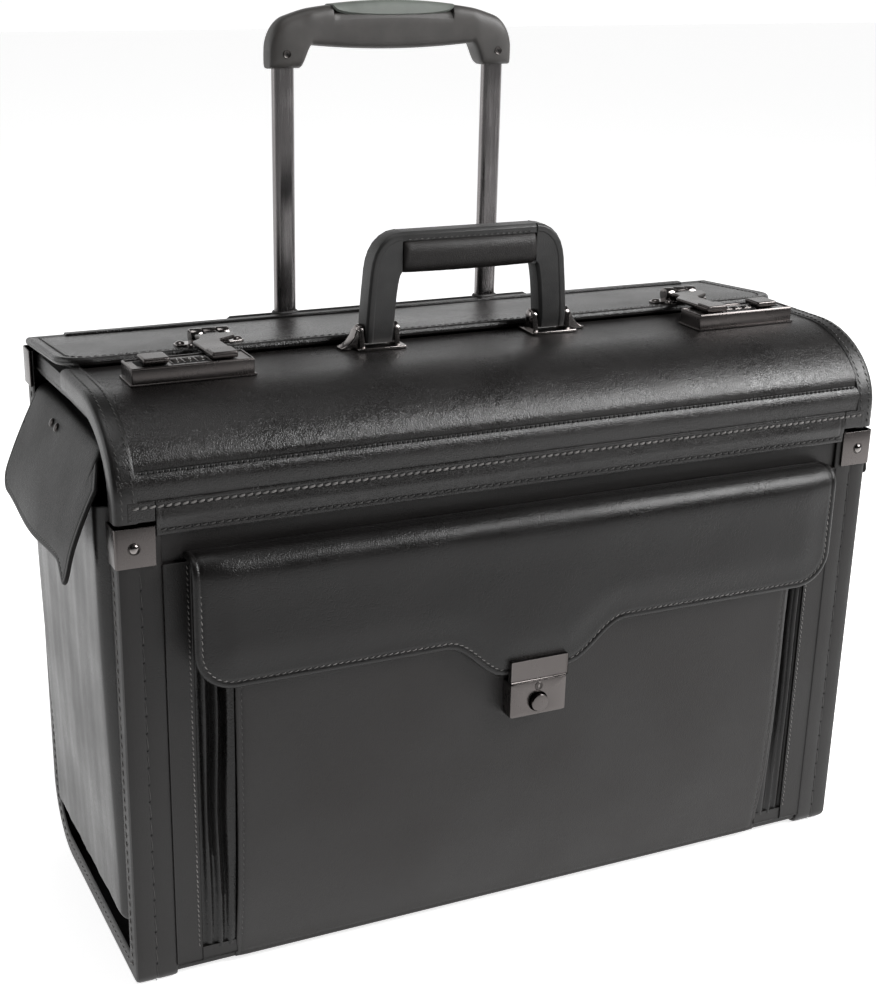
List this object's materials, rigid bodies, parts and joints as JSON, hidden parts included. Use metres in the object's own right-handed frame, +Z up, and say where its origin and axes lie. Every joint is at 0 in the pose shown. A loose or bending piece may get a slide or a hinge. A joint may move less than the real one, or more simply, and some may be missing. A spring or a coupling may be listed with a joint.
{
  "type": "wheeled pilot case",
  "caption": "Board pilot case in black vinyl with hinged front and rear lids, combination locks, gusseted front pocket, end pouches, carry handle, telescopic trolley handle and rear wheels.",
  "frame": {"origin": "centre of the whole object's bounding box in plan, on the floor the case stands on", "axes": "+X to the right seen from the front pocket side, along the case's width; +Y from the front pocket towards the trolley handle and wheels; +Z up"},
  "size_m": [0.5932, 0.2638, 0.5886],
  "materials": {
    "vinyl": "black smooth-grained leather-look vinyl, semi-gloss, tone-on-tone stitching",
    "pocket_vinyl": "the same vinyl in a softer, more matte sheet",
    "nickel": "dark nickel plate, satin with bright edges",
    "aluminium": "satin anodised tube",
    "plastic": "moulded plastic, fine texture",
    "insert": "soft grey-green button, matte",
    "tyre": "black wheel, matte",
    "number_wheel": "dark number wheels, satin"
  },
  "bodies": {
    "case": {"front_panel": "vinyl", "bottom_panel": "vinyl", "rear_corner_panel": "vinyl", "back_panel": "vinyl", "left_side_panel": "vinyl", "right_side_panel": "vinyl", "left_side_rim": "vinyl", "right_side_rim": "vinyl", "left_edge_band": "vinyl", "right_edge_band": "vinyl", "front_left_corner_plate": "nickel", "front_right_corner_plate": "nickel", "rear_left_corner_plate": "nickel", "rear_right_corner_plate": "nickel", "pocket_panel": "pocket_vinyl", "left_pocket_gusset": "vinyl", "right_pocket_gusset": "vinyl", "pocket_lock_case": "nickel", "left_pouch": "pocket_vinyl", "right_pouch": "pocket_vinyl", "left_wheel_housing": "plastic", "right_wheel_housing": "plastic", "left_axle": "nickel", "right_axle": "nickel", "trolley_housing": "vinyl", "trolley_bezel": "plastic", "trolley_base_frame": "aluminium"},
    "front_lid": {"front_lid": "vinyl", "left_lock_case": "nickel", "right_lock_case": "nickel", "left_handle_bracket": "nickel", "right_handle_bracket": "nickel"},
    "rear_lid": {"rear_lid": "vinyl", "left_hasp_base": "nickel", "right_hasp_base": "nickel"},
    "carry_handle": {"handle_frame": "plastic", "handle_grip": "pocket_vinyl"},
    "pocket_flap": {"pocket_flap": "vinyl", "pocket_hasp_plate": "nickel"},
    "pocket_lock_button": {"pocket_lock_button": "nickel"},
    "trolley_middle": {"left_middle_tube": "aluminium", "right_middle_tube": "aluminium"},
    "trolley_upper": {"left_inner_tube": "aluminium", "right_inner_tube": "aluminium", "trolley_grip": "plastic"},
    "trolley_button": {"trolley_button": "insert"},
    "left_hasp": {"left_hasp": "nickel"},
    "left_lock_slide": {"left_lock_slide": "nickel"},
    "left_pouch_flap": {"left_pouch_flap": "vinyl"},
    "left_wheel": {"left_wheel": "tyre"},
    "left_dial_1": {"left_dial_1": "number_wheel"},
    "left_dial_2": {"left_dial_2": "number_wheel"},
    "left_dial_3": {"left_dial_3": "number_wheel"},
    "right_hasp": {"right_hasp": "nickel"},
    "right_lock_slide": {"right_lock_slide": "nickel"},
    "right_pouch_flap": {"right_pouch_flap": "vinyl"},
    "right_wheel": {"right_wheel": "tyre"},
    "right_dial_1": {"right_dial_1": "number_wheel"},
    "right_dial_2": {"right_dial_2": "number_wheel"},
    "right_dial_3": {"right_dial_3": "number_wheel"}
  },
  "joints": [
    {"name": "rear_lid_hinge", "type": "hinge", "parent": "case", "child": "rear_lid", "pos_m": [0, 0.10735, 0.3726], "axis": [-1, 0, 0], "range_deg": [0, 85]},
    {"name": "front_lid_hinge", "type": "hinge", "parent": "case", "child": "front_lid", "pos_m": [0, -0.10615, 0.3123], "axis": [1, 0, 0], "range_deg": [0, 97.75]},
    {"name": "carry_handle_pivot", "type": "hinge", "parent": "front_lid", "child": "carry_handle", "pos_m": [0, -0.00565, 0.388], "axis": [1, 0, 0], "range_deg": [-75, 80]},
    {"name": "pocket_flap_hinge", "type": "hinge", "parent": "case", "child": "pocket_flap", "pos_m": [0, -0.11665, 0.2935], "axis": [-1, 0, 0], "range_deg": [0, 95]},
    {"name": "pocket_lock_button_slide", "type": "slide", "parent": "case", "child": "pocket_lock_button", "axis": [0, 1, 0], "range_m": [0, 0.002], "stiffness_N_per_m": 500},
    {"name": "left_hasp_hinge", "type": "hinge", "parent": "rear_lid", "child": "left_hasp", "pos_m": [-0.1695, 0.02435, 0.3867], "axis": [-1, 0, 0], "range_deg": [0, 100]},
    {"name": "left_lock_slide_travel", "type": "slide", "parent": "front_lid", "child": "left_lock_slide", "axis": [-1, 0, 0], "range_m": [0, 0.005], "stiffness_N_per_m": 400},
    {"name": "left_dial_1_spin", "type": "hinge", "parent": "front_lid", "child": "left_dial_1", "pos_m": [-0.193, -0.03365, 0.3836], "axis": [1, 0, 0], "continuous": true},
    {"name": "left_dial_2_spin", "type": "hinge", "parent": "front_lid", "child": "left_dial_2", "pos_m": [-0.201, -0.03365, 0.3836], "axis": [1, 0, 0], "continuous": true},
    {"name": "left_dial_3_spin", "type": "hinge", "parent": "front_lid", "child": "left_dial_3", "pos_m": [-0.209, -0.03365, 0.3836], "axis": [1, 0, 0], "continuous": true},
    {"name": "left_pouch_flap_hinge", "type": "hinge", "parent": "case", "child": "left_pouch_flap", "pos_m": [-0.266, 0.00235, 0.346], "axis": [0, 1, 0], "range_deg": [0, 100]},
    {"name": "left_wheel_spin", "type": "hinge", "parent": "case", "child": "left_wheel", "pos_m": [-0.2195, 0.09435, 0.024], "axis": [1, 0, 0], "continuous": true},
    {"name": "right_hasp_hinge", "type": "hinge", "parent": "rear_lid", "child": "right_hasp", "pos_m": [0.1905, 0.02435, 0.3867], "axis": [-1, 0, 0], "range_deg": [0, 100]},
    {"name": "right_lock_slide_travel", "type": "slide", "parent": "front_lid", "child": "right_lock_slide", "axis": [1, 0, 0], "range_m": [0, 0.005], "stiffness_N_per_m": 400},
    {"name": "right_dial_1_spin", "type": "hinge", "parent": "front_lid", "child": "right_dial_1", "pos_m": [0.193, -0.03365, 0.3836], "axis": [1, 0, 0], "continuous": true},
    {"name": "right_dial_2_spin", "type": "hinge", "parent": "front_lid", "child": "right_dial_2", "pos_m": [0.201, -0.03365, 0.3836], "axis": [1, 0, 0], "continuous": true},
    {"name": "right_dial_3_spin", "type": "hinge", "parent": "front_lid", "child": "right_dial_3", "pos_m": [0.209, -0.03365, 0.3836], "axis": [1, 0, 0], "continuous": true},
    {"name": "right_pouch_flap_hinge", "type": "hinge", "parent": "case", "child": "right_pouch_flap", "pos_m": [0.266, 0.00235, 0.346], "axis": [0, -1, 0], "range_deg": [0, 100]},
    {"name": "right_wheel_spin", "type": "hinge", "parent": "case", "child": "right_wheel", "pos_m": [0.2195, 0.09435, 0.024], "axis": [1, 0, 0], "continuous": true},
    {"name": "trolley_middle_slide", "type": "slide", "parent": "case", "child": "trolley_middle", "axis": [0, 0, 1], "range_m": [0, 0.28]},
    {"name": "trolley_upper_slide", "type": "slide", "parent": "trolley_middle", "child": "trolley_upper", "axis": [0, 0, 1], "range_m": [-0.168, 0.13]},
    {"name": "trolley_button_press", "type": "slide", "parent": "trolley_upper", "child": "trolley_button", "axis": [0, 0, -1], "range_m": [0, 0.004], "stiffness_N_per_m": 400}
  ],
  "couplings": [
    {"joint": "front_lid_hinge", "follows": "rear_lid_hinge", "ratio": 1.15}
  ]
}
